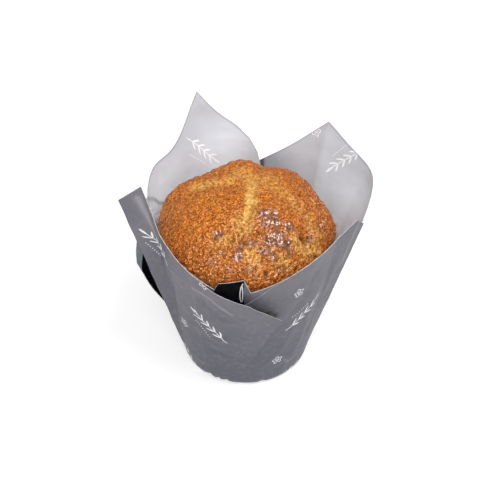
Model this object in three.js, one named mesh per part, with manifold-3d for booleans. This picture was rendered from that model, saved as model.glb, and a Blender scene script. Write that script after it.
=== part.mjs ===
// A muffin in its folded tulip paper case.
// Millimetres, +Z up, -Y to the front. The origin is the middle of the case's flat base.
//
// The case is one square sheet, pressed round the muffin into four petals. Between the petals its
// spare width lies folded over in pleats: at the front, at the left and at the back the outer
// layer of a pleat ends in a flap that stands a little off the wall.

import * as THREE from 'three';
import { mergeVertices } from 'three/addons/utils/BufferGeometryUtils.js';
import Module from 'manifold-3d';

const wasm = await Module();
wasm.setup();

// ---------------------------------------------------------------- driving dimensions (mm, degrees)

const BASE_RADIUS = 25;
const BASE_FILLET = 3;
const PAPER = 0.7;              // the wall, its pressed layers together
const GAP = 0.3;                // air between the muffin and the case
const FLAP_PROUD = 0.35;        // a flap's least height off the wall it lies on

const MUFFIN_FOOT_RADIUS = BASE_RADIUS - PAPER - GAP;
const MUFFIN_FOOT_HEIGHT = 4;   // top of the rounded lower edge
const MUFFIN_WIDEST_RADIUS = 34.5;
const MUFFIN_WIDEST_HEIGHT = 57;
const MUFFIN_TOP = 79.3;

// A point of an upper edge: azimuth, radius and height, and the azimuth at which the straight
// line of paper below it meets the base. Azimuth 0 is +X and -90 the front.
const point = (azimuth, radius, height, foot = azimuth) => ({ azimuth, radius, height, foot });

const FRONT_DIP = point(-87, 36.7, 58.3);
const RIGHT_SHOULDER = point(-25.7, 38.5, 68);
const RIGHT_CORNER = point(-15.3, 43.8, 72.9, -16);
const RIGHT_FOLD = point(-10, 45.7, 68.5, -12);
const RIGHT_DIP = point(-3, 42.6, 56);
const BACK_RIGHT_TIP = point(48, 49.5, 85.5);
const BACK_DIP = point(82, 41.5, 64);
const BACK_LEFT_TIP = point(112.4, 51.3, 93);
const LEFT_DIP = point(166, 38.8, 52);
const LEFT_FOLD = point(202.2, 50.3, 87.6, 200);
const LEFT_CORNER = point(205, 42, 92.9, 207);
const LEFT_SHOULDER = point(209, 36.8, 70.8, 213);
const POCKET_FOOT = point(251.5, 36.5, 58);
const POCKET_LEFT = point(254, 36.3, 61);
const POCKET_TOP = point(269.1, 36.3, 63.9);

const FRONT_FLAP = [
  point(231, 37, 60.8, 229),
  point(252, 38.2, 57.9, 243),
  point(272, 39.4, 54, 255),
  point(293, 39.6, 44.4, 266),
];
const LEFT_FLAP = [
  point(148, 44, 66, 148),
  point(161, 42.6, 58, 154),
  point(176.8, 42.9, 50.8, 161),
  point(186, 42.6, 46.5, 168),
];
const BACK_FLAP = [
  point(56, 46.5, 74, 56),
  point(70, 44.5, 67, 63),
  point(84, 43.2, 60.5, 69),
  point(98, 42.2, 51, 75),
];

// ------------------------------------------------------------------------------------ small tools

const radians = (degrees) => (degrees * Math.PI) / 180;
const mix = (a, b, t) => a + (b - a) * t;

function polar(azimuth, radius, height) {
  const angle = radians(azimuth);
  return new THREE.Vector3(radius * Math.cos(angle), radius * Math.sin(angle), height);
}

function planRadius(p) {
  return Math.hypot(p.x, p.y);
}

// The larger of two lengths, with a soft corner where they cross.
function softMax(a, b, softness) {
  return (a + b + Math.sqrt((a - b) ** 2 + softness ** 2)) / 2;
}

// A closed mesh from a list of Vector3 and a list of triangles.
function geometryFrom(vertices, triangles) {
  const geometry = new THREE.BufferGeometry();
  const numbers = vertices.flatMap((v) => v.toArray());
  geometry.setAttribute('position', new THREE.Float32BufferAttribute(numbers, 3));
  geometry.setIndex(triangles.flat());
  return geometry;
}

function solidFrom(geometry) {
  const welded = mergeVertices(geometry, 1e-5);
  return new wasm.Manifold(
    new wasm.Mesh({
      numProp: 3,
      vertProperties: Float32Array.from(welded.attributes.position.array),
      triVerts: Uint32Array.from(welded.index.array),
    }),
  );
}

function geometryOf(solid) {
  const mesh = solid.getMesh();
  const geometry = new THREE.BufferGeometry();
  geometry.setAttribute('position', new THREE.BufferAttribute(mesh.vertProperties, 3));
  geometry.setIndex(new THREE.BufferAttribute(mesh.triVerts, 1));
  return geometry;
}

// ------------------------------------------------------------------------------------- the muffin

// Radius of the muffin's side, a straight taper up to its widest level.
function muffinSide(height) {
  const rise = (height - MUFFIN_FOOT_HEIGHT) / (MUFFIN_WIDEST_HEIGHT - MUFFIN_FOOT_HEIGHT);
  return mix(MUFFIN_FOOT_RADIUS, MUFFIN_WIDEST_RADIUS, rise);
}

// Cracks across the crust, seen from above, as lines of x, y. The crumb shows in them.
const CRACKS = [
  {
    width: 2.8,
    depth: 1.2,
    line: [[8, 26], [6, 16], [4, 8], [1.7, 0.5], [1, -11], [-0.8, -21.6], [-1.7, -24.4]],
  },
  { width: 2.4, depth: 0.9, line: [[1.7, 0.5], [-9.8, 0.3], [-20.3, 2.1], [-28, 4]] },
  { width: 2.2, depth: 0.9, line: [[4, 6], [13.2, -3.4], [23.6, -8.7], [24.9, -12], [22, -19], [26, -23]] },
  { width: 1.8, depth: 0.7, line: [[-1.7, -24.4], [-6.5, -25.4], [-12, -24]] },
];

// Swellings of the crust between the cracks, and hollows: place, rise and spread.
const SWELLINGS = [
  { x: -26, y: 8, rise: 1.9, spread: 8 },
  { x: -19, y: 21, rise: -1.2, spread: 6 },
  { x: 6, y: 27, rise: -1.3, spread: 4 },
  { x: -1, y: 17, rise: 1.9, spread: 7 },
  { x: 18, y: 13, rise: 1.2, spread: 8 },
  { x: 31, y: 13, rise: -1.4, spread: 6 },
  { x: 37, y: -4, rise: 2.8, spread: 6 },
  { x: -14, y: -10, rise: 1, spread: 10 },
  { x: 12, y: -15, rise: 1.4, spread: 8 },
  { x: 8, y: -27, rise: 0.7, spread: 6 },
];

// Distance in plan from a place to a line of points.
function distanceToLine(x, y, line) {
  let nearest = Infinity;
  for (let i = 1; i < line.length; i += 1) {
    const [ax, ay] = line[i - 1];
    const [bx, by] = line[i];
    const length2 = (bx - ax) ** 2 + (by - ay) ** 2;
    const along = ((x - ax) * (bx - ax) + (y - ay) * (by - ay)) / length2;
    const t = Math.min(1, Math.max(0, along));
    nearest = Math.min(nearest, Math.hypot(x - mix(ax, bx, t), y - mix(ay, by, t)));
  }
  return nearest;
}

// Height of the crust's relief over the smooth dome.
function crustRelief(x, y) {
  let depth = 0;
  for (const crack of CRACKS) {
    const d = distanceToLine(x, y, crack.line) / crack.width;
    depth = Math.max(depth, crack.depth * Math.exp(-d * d));
  }
  let swelling = 0;
  for (const s of SWELLINGS) {
    swelling += s.rise * Math.exp(-((x - s.x) ** 2 + (y - s.y) ** 2) / s.spread ** 2);
  }
  const warpX = 1.1 + Math.sin(0.31 * y);
  const warpY = 0.6 - Math.sin(0.27 * x);
  const coarse = Math.sin(0.55 * x + warpX) * Math.sin(0.49 * y + warpY);
  const fine = Math.sin(1.13 * x - 0.7 * y + 0.4) * Math.sin(0.91 * y + 0.63 * x + 1.9);
  return swelling - depth + 0.35 * coarse + 0.22 * fine;
}

const MUFFIN_COLUMNS = 96;
const DOME_ROWS = 24;
const SIDE_ROWS = 4;
const DOME_SQUARENESS = 1.93;   // 2 is an ellipse, less comes closer to a cone
const DOME_SHIFT_Y = 3.5;       // the top leans to the back
const DOME_TILT = 0.6;          // and rises this much to the right
const POLE_SHARE = 0.97;        // share of the dome's quarter turn that its rows cover

// The muffin's outline from the middle of its base to the last ring at the top: radius, height and
// how much of the crust's relief shows there.
function muffinProfile() {
  const floor = PAPER + GAP;
  const profile = [
    { radius: MUFFIN_FOOT_RADIUS - 2.8, height: floor, relief: 0 },
    { radius: MUFFIN_FOOT_RADIUS - 0.8, height: floor + 0.9, relief: 0 },
  ];
  for (let i = 0; i < SIDE_ROWS; i += 1) {
    const height = mix(MUFFIN_FOOT_HEIGHT, MUFFIN_WIDEST_HEIGHT, i / SIDE_ROWS);
    profile.push({ radius: muffinSide(height), height, relief: 0 });
  }
  const rise = MUFFIN_TOP - MUFFIN_WIDEST_HEIGHT;
  for (let i = 0; i <= DOME_ROWS; i += 1) {
    const angle = radians(90) * POLE_SHARE * (i / DOME_ROWS);
    const radius = MUFFIN_WIDEST_RADIUS * Math.cos(angle) ** (2 / DOME_SQUARENESS);
    const height = MUFFIN_WIDEST_HEIGHT + rise * Math.sin(angle) ** (2 / DOME_SQUARENESS);
    profile.push({ radius, height, relief: Math.min(1, Math.sin(angle) * 2.4) });
  }
  return profile;
}

function muffinPoint(station, azimuth) {
  const { radius, height, relief } = station;
  const p = polar(azimuth, radius, height);
  const rise = MUFFIN_TOP - MUFFIN_WIDEST_HEIGHT;
  const up = Math.max(0, (height - MUFFIN_WIDEST_HEIGHT) / rise);
  const outward = polar(azimuth, radius / MUFFIN_WIDEST_RADIUS ** 2, up / rise).normalize();
  p.addScaledVector(outward, relief * crustRelief(p.x, p.y));
  p.y += DOME_SHIFT_Y * up;
  p.z += DOME_TILT * up * (p.x / MUFFIN_WIDEST_RADIUS);
  return p;
}

// Rings close to the top have half, then a quarter of the columns, so that no facet gets narrow.
function columnsAt(radius) {
  if (radius > 0.5 * MUFFIN_WIDEST_RADIUS) return MUFFIN_COLUMNS;
  if (radius > 0.22 * MUFFIN_WIDEST_RADIUS) return MUFFIN_COLUMNS / 2;
  return MUFFIN_COLUMNS / 4;
}

// The triangles between a lower and an upper ring, which has as many points or half as many.
function bandBetween(low, high) {
  const triangles = [];
  const ratio = low.count / high.count;
  const lowAt = (i) => low.start + (i % low.count);
  const highAt = (i) => high.start + (i % high.count);
  for (let c = 0; c < high.count; c += 1) {
    const first = c * ratio;
    triangles.push([lowAt(first), lowAt(first + 1), highAt(c)]);
    triangles.push([lowAt(first + 1), highAt(c + 1), highAt(c)]);
    if (ratio === 2) triangles.push([lowAt(first + 1), lowAt(first + 2), highAt(c + 1)]);
  }
  return triangles;
}

function muffinGeometry() {
  const vertices = [new THREE.Vector3(0, 0, PAPER + GAP)];
  const triangles = [];
  const rings = muffinProfile().map((station) => {
    const ring = { start: vertices.length, count: columnsAt(station.radius) };
    if (station.height < MUFFIN_WIDEST_HEIGHT) ring.count = MUFFIN_COLUMNS;
    for (let c = 0; c < ring.count; c += 1) {
      vertices.push(muffinPoint(station, (360 * c) / ring.count));
    }
    return ring;
  });
  const base = rings[0];
  const last = rings[rings.length - 1];
  const middle = new THREE.Vector3();
  vertices.slice(last.start).forEach((v) => middle.addScaledVector(v, 1 / last.count));
  const top = vertices.push(middle) - 1;
  for (let c = 0; c < base.count; c += 1) {
    triangles.push([0, base.start + ((c + 1) % base.count), base.start + c]);
  }
  for (let r = 1; r < rings.length; r += 1) {
    triangles.push(...bandBetween(rings[r - 1], rings[r]));
  }
  for (let c = 0; c < last.count; c += 1) {
    triangles.push([last.start + c, last.start + ((c + 1) % last.count), top]);
  }
  return geometryFrom(vertices, triangles);
}

// -------------------------------------------------------------------------------- the paper's edges

// Points from one named point to the next, the last one left out. The lean of the paper, its
// reach beyond the base for each millimetre of height, changes evenly. `bow` lifts the middle of
// the edge, `sway` lifts its first half and lowers its second, and `flare` adds lean.
function curvedEdge(from, to, steps, { bow = 0, sway = 0, flare = 0 } = {}) {
  const lean = (p) => (p.radius - BASE_RADIUS) / p.height;
  return Array.from({ length: steps }, (_, i) => {
    const t = i / steps;
    const arch = Math.sin(Math.PI * t);
    const height = mix(from.height, to.height, t) + bow * arch + sway * Math.sin(2 * Math.PI * t);
    const radius = BASE_RADIUS + height * (mix(lean(from), lean(to), t) + flare * arch);
    return point(mix(from.azimuth, to.azimuth, t), radius, height, mix(from.foot, to.foot, t));
  });
}

// The same along a straight line in space, for the flat panels.
function straightEdge(from, to, steps) {
  const a = polar(from.azimuth, from.radius, from.height);
  const b = polar(to.azimuth, to.radius, to.height);
  return Array.from({ length: steps }, (_, i) => {
    const t = i / steps;
    const p = a.clone().lerp(b, t);
    let azimuth = THREE.MathUtils.radToDeg(Math.atan2(p.y, p.x));
    if (azimuth < from.azimuth - 180) azimuth += 360;
    return point(azimuth, planRadius(p), p.z, mix(from.foot, to.foot, t));
  });
}

const turned = (p) => point(p.azimuth + 360, p.radius, p.height, p.foot + 360);

const CASE_EDGE = [
  ...curvedEdge(FRONT_DIP, RIGHT_SHOULDER, 12, { bow: 2.6, sway: -0.6 }),
  ...straightEdge(RIGHT_SHOULDER, RIGHT_CORNER, 3),
  ...straightEdge(RIGHT_CORNER, RIGHT_FOLD, 2),
  ...straightEdge(RIGHT_FOLD, RIGHT_DIP, 3),
  ...curvedEdge(RIGHT_DIP, BACK_RIGHT_TIP, 12, { bow: 4.5, sway: 3.2, flare: 0.065 }),
  ...curvedEdge(BACK_RIGHT_TIP, BACK_DIP, 7, { bow: -2.4 }),
  ...curvedEdge(BACK_DIP, BACK_LEFT_TIP, 8, { bow: 1, sway: 1.8 }),
  ...curvedEdge(BACK_LEFT_TIP, LEFT_DIP, 12, { sway: -6 }),
  ...straightEdge(LEFT_DIP, LEFT_FOLD, 5),
  ...straightEdge(LEFT_FOLD, LEFT_CORNER, 3),
  ...straightEdge(LEFT_CORNER, LEFT_SHOULDER, 4),
  ...curvedEdge(LEFT_SHOULDER, POCKET_FOOT, 8),
  ...straightEdge(POCKET_FOOT, POCKET_LEFT, 1),
  ...curvedEdge(POCKET_LEFT, POCKET_TOP, 4),
  ...straightEdge(POCKET_TOP, turned(FRONT_DIP), 1),
];

// ------------------------------------------------------------------------------- the paper's walls

const WALL_ROWS = 5;
const FILLET_ROWS = 3;

// A wall never lies closer to the axis than the muffin it is pressed on.
function pressedOut(p, clearance) {
  const radius = planRadius(p);
  const least = muffinSide(Math.min(p.z, MUFFIN_WIDEST_HEIGHT)) + clearance;
  const scale = softMax(radius, least, 0.5) / radius;
  return new THREE.Vector3(p.x * scale, p.y * scale, p.z);
}

// One line of paper from the base up to an edge point, `share` of the way up.
function paperLine(edge, share, footHeight, proud) {
  const foot = polar(edge.foot, BASE_RADIUS + proud, footHeight);
  const rim = polar(edge.azimuth, edge.radius, edge.height);
  return pressedOut(foot.lerp(rim, share), PAPER + GAP + proud);
}

// The row of points one wall thickness inside another row, its corners mitred. `closed` joins the
// last point to the first.
function insetRow(row, inset, closed) {
  const count = row.length;
  const normalAfter = (i) => {
    const a = row[(i + count) % count];
    const b = row[(i + 1 + count) % count];
    return new THREE.Vector2(b.y - a.y, a.x - b.x).normalize();
  };
  return row.map((p, i) => {
    const first = !closed && i === 0;
    const final = !closed && i === count - 1;
    const before = first ? normalAfter(0) : normalAfter(i - 1);
    const after = final ? normalAfter(count - 2) : normalAfter(i);
    const middle = before.clone().add(after).normalize();
    const mitre = Math.min(2.4, 1 / Math.max(0.1, middle.dot(after)));
    return new THREE.Vector3(p.x - middle.x * inset * mitre, p.y - middle.y * inset * mitre, p.z);
  });
}

// A closed solid between an outer and an inner sheet of points, both given as rows from the lower
// edge up. A closed sheet goes all the way round; the floor then closes it below.
function solidBetween(outer, inner, closed) {
  const rows = outer.length;
  const columns = outer[0].length;
  const vertices = [...outer.flat(), ...inner.flat()];
  const out = (r, c) => r * columns + (c % columns);
  const inn = (r, c) => rows * columns + out(r, c);
  const triangles = [];
  const quad = (a, b, c, d) => triangles.push([a, b, c], [a, c, d]);
  const spans = closed ? columns : columns - 1;
  for (let c = 0; c < spans; c += 1) {
    for (let r = 0; r < rows - 1; r += 1) {
      quad(out(r, c), out(r, c + 1), out(r + 1, c + 1), out(r + 1, c));
      quad(inn(r, c), inn(r + 1, c), inn(r + 1, c + 1), inn(r, c + 1));
    }
    quad(out(rows - 1, c), out(rows - 1, c + 1), inn(rows - 1, c + 1), inn(rows - 1, c));
    if (closed) continue;
    quad(out(0, c), inn(0, c), inn(0, c + 1), out(0, c + 1));
  }
  if (closed) {
    const low = vertices.push(new THREE.Vector3(0, 0, outer[0][0].z)) - 1;
    const high = vertices.push(new THREE.Vector3(0, 0, inner[0][0].z)) - 1;
    for (let c = 0; c < columns; c += 1) {
      triangles.push([low, out(0, c + 1), out(0, c)]);
      triangles.push([high, inn(0, c), inn(0, c + 1)]);
    }
  } else {
    for (let r = 0; r < rows - 1; r += 1) {
      quad(out(r, 0), out(r + 1, 0), inn(r + 1, 0), inn(r, 0));
      const e = columns - 1;
      quad(out(r, e), inn(r, e), inn(r + 1, e), out(r + 1, e));
    }
  }
  return solidFrom(geometryFrom(vertices, triangles));
}

// The whole case without its flaps: the floor, the rounded lower edge and the wall.
function caseWall() {
  const outer = [];
  const inner = [];
  for (let i = 0; i < FILLET_ROWS; i += 1) {
    const angle = radians((90 * i) / FILLET_ROWS);
    const ring = (radius, floor) => {
      const reach = BASE_RADIUS - BASE_FILLET + radius * Math.sin(angle);
      return CASE_EDGE.map((edge) => polar(edge.foot, reach, floor + radius * (1 - Math.cos(angle))));
    };
    outer.push(ring(BASE_FILLET, 0));
    inner.push(ring(BASE_FILLET - PAPER, PAPER));
  }
  for (let i = 0; i <= WALL_ROWS; i += 1) {
    const row = CASE_EDGE.map((edge) => paperLine(edge, i / WALL_ROWS, BASE_FILLET, 0));
    outer.push(row);
    inner.push(insetRow(row, PAPER, true));
  }
  return solidBetween(outer, inner, true);
}

const FLAP_FOOT = 5;            // height at which a flap starts off the wall
const FLAP_STEPS = 4;           // columns between two of its named points

// A flap: the outer layer of a pleat, from where it leaves the wall to the fold at its free side.
function caseFlap(points) {
  const edges = [];
  for (let i = 1; i < points.length; i += 1) {
    edges.push(...curvedEdge(points[i - 1], points[i], FLAP_STEPS));
  }
  edges.push(points[points.length - 1]);
  const outer = [];
  for (let i = 0; i <= WALL_ROWS; i += 1) {
    outer.push(edges.map((edge) => paperLine(edge, i / WALL_ROWS, FLAP_FOOT, FLAP_PROUD)));
  }
  const inner = outer.map((row) => insetRow(row, PAPER, false));
  return solidBetween(outer, inner, false);
}

function caseGeometry() {
  let solid = caseWall();
  for (const flap of [FRONT_FLAP, LEFT_FLAP, BACK_FLAP]) {
    solid = solid.add(caseFlap(flap));
  }
  return geometryOf(solid);
}

// ------------------------------------------------------------------------------------- the object

const CRUST = new THREE.MeshStandardMaterial({ color: 0xc0783a, roughness: 0.55, metalness: 0 });
const PRINTED_PAPER = new THREE.MeshStandardMaterial({ color: 0x807f88, roughness: 0.7, metalness: 0 });

function named(name, geometry, material) {
  const mesh = new THREE.Mesh(geometry, material);
  mesh.name = name;
  return mesh;
}

const group = new THREE.Group();
group.add(named('muffin', muffinGeometry(), CRUST));
group.add(named('paper_case', caseGeometry(), PRINTED_PAPER));

export default group;
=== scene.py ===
"""A muffin in its folded tulip paper case.

Blender works in metres, +Z up and -Y to the front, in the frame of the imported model. The paper and
the crust repeat the named points of the part's source and add what the solids leave out: thin
two-sided paper with creases, a fine print and open folds, and a crust with grain, pores, cracks
full of crumb and sticky spots.
"""

import math
from collections import namedtuple

import bpy
import numpy as np
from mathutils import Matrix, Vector, noise


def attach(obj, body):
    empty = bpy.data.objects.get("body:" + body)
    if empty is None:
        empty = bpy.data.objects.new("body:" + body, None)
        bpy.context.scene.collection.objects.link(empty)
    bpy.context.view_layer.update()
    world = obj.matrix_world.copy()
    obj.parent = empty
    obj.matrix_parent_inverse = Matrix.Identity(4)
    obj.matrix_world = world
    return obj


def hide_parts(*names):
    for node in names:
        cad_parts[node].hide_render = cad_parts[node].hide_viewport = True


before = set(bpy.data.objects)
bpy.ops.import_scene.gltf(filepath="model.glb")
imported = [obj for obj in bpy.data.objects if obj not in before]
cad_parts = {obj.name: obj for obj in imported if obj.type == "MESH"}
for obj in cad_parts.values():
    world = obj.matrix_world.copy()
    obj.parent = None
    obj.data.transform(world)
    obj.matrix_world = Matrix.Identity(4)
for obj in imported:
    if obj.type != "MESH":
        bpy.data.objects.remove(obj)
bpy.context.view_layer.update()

MM = 0.001
RANDOM_SEED = 7
rng = np.random.default_rng(RANDOM_SEED)

# ---- driving dimensions

BASE_RADIUS = 25 * MM
BASE_FILLET = 3 * MM
PAPER = 0.7 * MM  # thickness of the solid case
SHEET = 0.24 * MM  # thickness of the paper that shows
GAP = 0.3 * MM

MUFFIN_FOOT_RADIUS = BASE_RADIUS - PAPER - GAP
MUFFIN_FOOT_HEIGHT = 4 * MM
MUFFIN_WIDEST_RADIUS = 34.5 * MM
MUFFIN_WIDEST_HEIGHT = 57 * MM
MUFFIN_TOP = 79.3 * MM

Edge = namedtuple("Edge", "azimuth radius height foot")


def point(azimuth, radius, height, foot=None):
    """A point of an upper edge: degrees and millimetres, and the azimuth where its line of paper
    meets the base. Azimuth 0 is +X and -90 the front."""
    return Edge(azimuth, radius * MM, height * MM, azimuth if foot is None else foot)


FRONT_DIP = point(-87, 36.7, 58.3)
RIGHT_SHOULDER = point(-25.7, 38.5, 68)
RIGHT_CORNER = point(-15.3, 43.8, 72.9, -16)
RIGHT_FOLD = point(-10, 45.7, 68.5, -12)
RIGHT_DIP = point(-3, 42.6, 56)
BACK_RIGHT_TIP = point(48, 49.5, 85.5)
BACK_DIP = point(82, 41.5, 64)
BACK_LEFT_TIP = point(112.4, 51.3, 93)
LEFT_DIP = point(166, 38.8, 52)
LEFT_FOLD = point(202.2, 50.3, 87.6, 200)
LEFT_CORNER = point(205, 42, 92.9, 207)
LEFT_SHOULDER = point(209, 36.8, 70.8, 213)
POCKET_FOOT = point(251.5, 36.5, 58)
POCKET_LEFT = point(254, 36.3, 61)
POCKET_TOP = point(269.1, 36.3, 63.9)

FRONT_FLAP = [
    point(231, 36.6, 63.9, 229),
    point(243, 36.9, 60.3, 237),
    point(252, 38.2, 57.9, 243),
    point(272, 39.4, 54.5, 255),
    point(280, 39.4, 51, 259.5),
    point(290, 39.3, 45, 265),
]
LEFT_FLAP = [
    point(148, 44, 66, 148),
    point(161, 42.6, 58, 154),
    point(176.8, 42.9, 50.8, 161),
    point(186, 42.6, 46.5, 168),
]
BACK_FLAP = [
    point(56, 46.5, 74, 56),
    point(70, 44.5, 67, 63),
    point(84, 43.2, 60.5, 69),
    point(98, 42.2, 51, 75),
]
# The outer layer at the front right. It lies on the wall and its edge runs up to just below the rim.
FRONT_RIGHT_LAYER = [
    point(-92, 35.6, 50.6, -98),
    point(-84.5, 36.2, 54.6, -88),
    point(-74.4, 37.2, 60.4, -76),
    point(-63, 37.6, 63.6, -64),
    point(-44, 38.2, 66.8, -46),
]
# The back left petal's right side, which laps over the inside of the wall at the back dip.
BACK_LAP = [
    point(80.6, 37.7, 52, 80),
    point(81, 40.5, 62, 81),
    point(83.2, 41.6, 67.6, 84),
    point(88, 43.6, 73.2, 88),
    point(97, 45.9, 79.6, 97),
]

# ---- small tools

SHARP_ANGLE = math.radians(42)  # faces that meet more steeply than this show an edge


def mix(a, b, t):
    return a + (b - a) * t


def smoothstep(low, high, x):
    t = np.clip((x - low) / (high - low), 0, 1)
    return t * t * (3 - 2 * t)


def soft_max(a, b, softness):
    return (a + b + np.sqrt((a - b) ** 2 + softness**2)) / 2


def bell(x):
    return np.exp(-(x * x))


def polar(azimuth, radius, height):
    angle = np.radians(azimuth)
    parts = np.broadcast_arrays(radius * np.cos(angle), radius * np.sin(angle), height)
    return np.stack(parts, axis=-1)


def turn_between(a, b):
    """Degrees from azimuth b to azimuth a, the short way round."""
    return (a - b + 180) % 360 - 180


def azimuth_of(points, near=0.0):
    """Azimuths in degrees, within half a turn of `near`."""
    return near + turn_between(np.degrees(np.arctan2(points[..., 1], points[..., 0])), near)


def unit(vectors):
    return vectors / np.maximum(np.linalg.norm(vectors, axis=-1, keepdims=True), 1e-12)


def grid_normals(rows, closed=False):
    """Unit normals of a grid of points, to the right of its rows as they rise. The last column of
    a closed grid is a copy of its first."""
    if closed:
        rows = np.concatenate([rows[:, -3:-1], rows, rows[:, 1:3]], axis=1)
    normals = unit(np.cross(np.gradient(rows, axis=1), np.gradient(rows, axis=0)))
    return normals[:, 2:-2] if closed else normals


def noise_at(points, size, seed, octaves=3):
    """Smooth noise from about -1 to 1 at each point; size is that of its blobs in metres."""
    shift = Vector((seed * 7.3, seed * 3.1, seed * 5.7))
    flat = points.reshape(-1, 3) / size
    values = [noise.fractal(Vector(p) + shift, 0.9, 2.1, octaves) for p in flat]
    return np.array(values).reshape(points.shape[:-1])


def distance_to_line(x, y, line):
    """Distance from each place to a line of points."""
    nearest = np.full(x.shape, np.inf)
    for (ax, ay), (bx, by) in zip(line, line[1:]):
        run, rise = bx - ax, by - ay
        t = np.clip(((x - ax) * run + (y - ay) * rise) / (run**2 + rise**2), 0, 1)
        nearest = np.minimum(nearest, np.hypot(x - mix(ax, bx, t), y - mix(ay, by, t)))
    return nearest


def add_object(name, data):
    thing = bpy.data.objects.new(name, data)
    bpy.context.scene.collection.objects.link(thing)
    return thing


def add_mesh(name, vertices, faces, materials, floats, *, face_material=None, uv=None):
    """A smooth-shaded mesh object that rides on the part. floats are values for each vertex, which
    its materials read by name, and uv has one pair for each face corner."""
    mesh = bpy.data.meshes.new(name)
    faces = np.asarray(faces, np.int32)
    count, corners = faces.shape
    mesh.vertices.add(len(vertices))
    mesh.vertices.foreach_set("co", np.asarray(vertices, np.float32).ravel())
    mesh.loops.add(count * corners)
    mesh.loops.foreach_set("vertex_index", faces.ravel())
    mesh.polygons.add(count)
    mesh.polygons.foreach_set("loop_start", np.arange(0, count * corners, corners, dtype=np.int32))
    for material in materials:
        mesh.materials.append(material)
    if face_material is not None:
        mesh.polygons.foreach_set("material_index", np.asarray(face_material, np.int32))
    if uv is not None:
        mesh.uv_layers.new(name="Sheet").uv.foreach_set("vector", np.asarray(uv, np.float32).ravel())
    for key, values in floats.items():
        layer = mesh.attributes.new(key, "FLOAT", "POINT")
        layer.data.foreach_set("value", np.asarray(values, np.float32).ravel())
    mesh.update(calc_edges=True)
    mesh.validate()
    mesh.shade_smooth()
    mesh.set_sharp_from_angle(angle=SHARP_ANGLE)
    piece = add_object(name, mesh)
    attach(piece, "root")
    return piece


# ---- the paper's outline

FINE = 5  # columns of fine mesh for each step of the solid's edge


def lean_of(p):
    """How far the wall under a point of the edge leans out for each metre up."""
    return (p.radius - BASE_RADIUS) / p.height


def curved_edge(a, b, steps, bow=0.0, sway=0.0, flare=0.0):
    """Columns from one named point to the next: azimuth, radius, height, foot. The last is left out.
    bow and sway raise the edge in an arch and an s-curve, in mm, and flare leans its middle out."""
    t = np.arange(steps * FINE) / (steps * FINE)
    arch = np.sin(np.pi * t)
    height = mix(a.height, b.height, t) + bow * MM * arch + sway * MM * np.sin(2 * np.pi * t)
    radius = BASE_RADIUS + height * (mix(lean_of(a), lean_of(b), t) + flare * arch)
    return np.stack([mix(a.azimuth, b.azimuth, t), radius, height, mix(a.foot, b.foot, t)], axis=1)


def straight_edge(a, b, steps):
    """The same along a straight line in space."""
    t = np.arange(steps * FINE) / (steps * FINE)
    start, end = [polar(p.azimuth, p.radius, p.height) for p in (a, b)]
    line = mix(start, end, t[:, None])
    radius = np.hypot(line[:, 0], line[:, 1])
    return np.stack([azimuth_of(line, a.azimuth), radius, line[:, 2], mix(a.foot, b.foot, t)], axis=1)


def turned(p):
    return p._replace(azimuth=p.azimuth + 360, foot=p.foot + 360)


CASE_EDGE = np.vstack([
    curved_edge(FRONT_DIP, RIGHT_SHOULDER, 12, bow=2.6, sway=-0.6),
    straight_edge(RIGHT_SHOULDER, RIGHT_CORNER, 3),
    straight_edge(RIGHT_CORNER, RIGHT_FOLD, 2),
    straight_edge(RIGHT_FOLD, RIGHT_DIP, 3),
    curved_edge(RIGHT_DIP, BACK_RIGHT_TIP, 12, bow=4.5, sway=3.2, flare=0.065),
    curved_edge(BACK_RIGHT_TIP, BACK_DIP, 7, bow=-2.4),
    curved_edge(BACK_DIP, BACK_LEFT_TIP, 8, bow=1, sway=1.8),
    curved_edge(BACK_LEFT_TIP, LEFT_DIP, 12, sway=-6),
    straight_edge(LEFT_DIP, LEFT_FOLD, 5),
    straight_edge(LEFT_FOLD, LEFT_CORNER, 3),
    straight_edge(LEFT_CORNER, LEFT_SHOULDER, 4),
    curved_edge(LEFT_SHOULDER, POCKET_FOOT, 8),
    straight_edge(POCKET_FOOT, POCKET_LEFT, 1),
    curved_edge(POCKET_LEFT, POCKET_TOP, 4),
    straight_edge(POCKET_TOP, turned(FRONT_DIP), 1),
])

# ---- the paper's surfaces

PRESS_SOFTNESS = 0.5 * MM  # how gently the wall turns to follow the muffin


def muffin_side(height):
    rise = (height - MUFFIN_FOOT_HEIGHT) / (MUFFIN_WIDEST_HEIGHT - MUFFIN_FOOT_HEIGHT)
    return mix(MUFFIN_FOOT_RADIUS, MUFFIN_WIDEST_RADIUS, rise)


def pressed_out(points, clearance):
    """A wall never lies closer to the axis than the muffin it is pressed on."""
    radius = np.hypot(points[..., 0], points[..., 1])
    least = muffin_side(np.minimum(points[..., 2], MUFFIN_WIDEST_HEIGHT)) + clearance
    scale = soft_max(radius, least, PRESS_SOFTNESS) / radius
    return points * np.stack([scale, scale, np.ones_like(scale)], axis=-1)


def wall_rows(edge, shares, foot_height, proud):
    """The outer face of a wall, as rows of points from its foot up to its edge."""
    foot = polar(edge[:, 3], BASE_RADIUS + proud, foot_height)
    rim = polar(edge[:, 0], edge[:, 1], edge[:, 2])
    rows = mix(foot[None], rim[None], np.asarray(shares)[:, None, None])
    return pressed_out(rows, PAPER + GAP + proud)


# The creases lie in the flat sheet. A regular cone close to the wall unrolls to it.
CONE_LEAN = 0.2
CONE_SLOPE = math.hypot(1, CONE_LEAN)
CONE_APEX = BASE_RADIUS / CONE_LEAN


def unrolled(azimuth, height):
    """Places on the flat sheet, in metres."""
    reach = (CONE_APEX + height) * CONE_SLOPE
    angle = np.radians(azimuth) * CONE_LEAN / CONE_SLOPE
    return np.stack([reach * np.sin(angle), reach * np.cos(angle)], axis=-1)


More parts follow.
